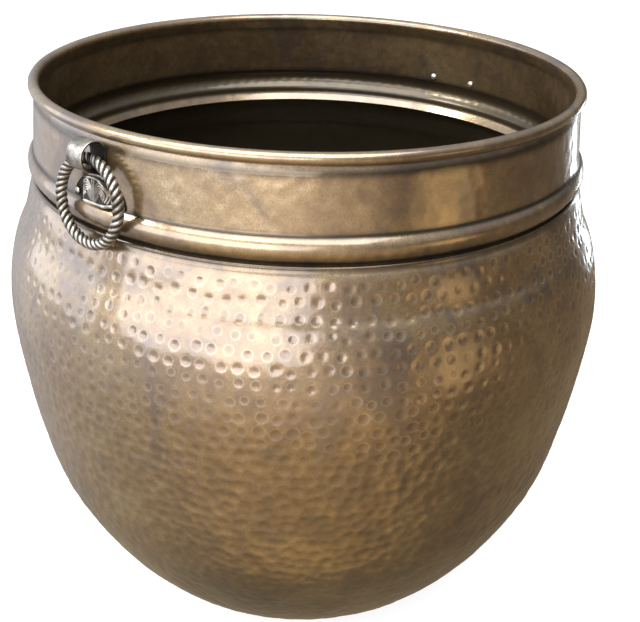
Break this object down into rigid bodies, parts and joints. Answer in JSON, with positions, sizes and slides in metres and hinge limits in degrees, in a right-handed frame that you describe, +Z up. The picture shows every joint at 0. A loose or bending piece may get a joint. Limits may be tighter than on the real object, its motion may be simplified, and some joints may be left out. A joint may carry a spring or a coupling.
{
  "type": "brass planter pot",
  "caption": "Round-bellied hammered brass planter pot with a beaded collar, a wired rolled rim and hanging rope-twist ring pulls on riveted fan plates.",
  "frame": {"origin": "centre of the flat base, on the floor", "axes": "+Z up along the pot's turning axis, X across the two ring pulls"},
  "size_m": [0.4534, 0.4534, 0.425],
  "materials": {
    "hammered_brass": "hammered, with a mottled brown antique patina",
    "rim_wire": "plain black iron wire",
    "pull_metal": "cast and stamped, pale and greyed, with dark recesses",
    "rivet_metal": "bright, lightly worn"
  },
  "bodies": {
    "pot": {"bowl_shell": "hammered_brass", "neck_collar": "hammered_brass", "rim_wire": "rim_wire", "handle_plate_a": "pull_metal", "strap_loop_a": "pull_metal", "rivet_a1": "rivet_metal", "rivet_a2": "rivet_metal", "handle_plate_b": "pull_metal", "strap_loop_b": "pull_metal", "rivet_b1": "rivet_metal", "rivet_b2": "rivet_metal"},
    "ring_a": {"pull_ring_a": "pull_metal"},
    "ring_b": {"pull_ring_b": "pull_metal"}
  },
  "joints": [
    {"name": "ring_swing_a", "type": "hinge", "parent": "pot", "child": "ring_a", "pos_m": [-0.20534, 0, 0.4052], "axis": [0, 1, 0], "range_deg": [0, 182]},
    {"name": "ring_swing_b", "type": "hinge", "parent": "pot", "child": "ring_b", "pos_m": [0.20534, 0, 0.4052], "axis": [0, -1, 0], "range_deg": [0, 182]}
  ]
}
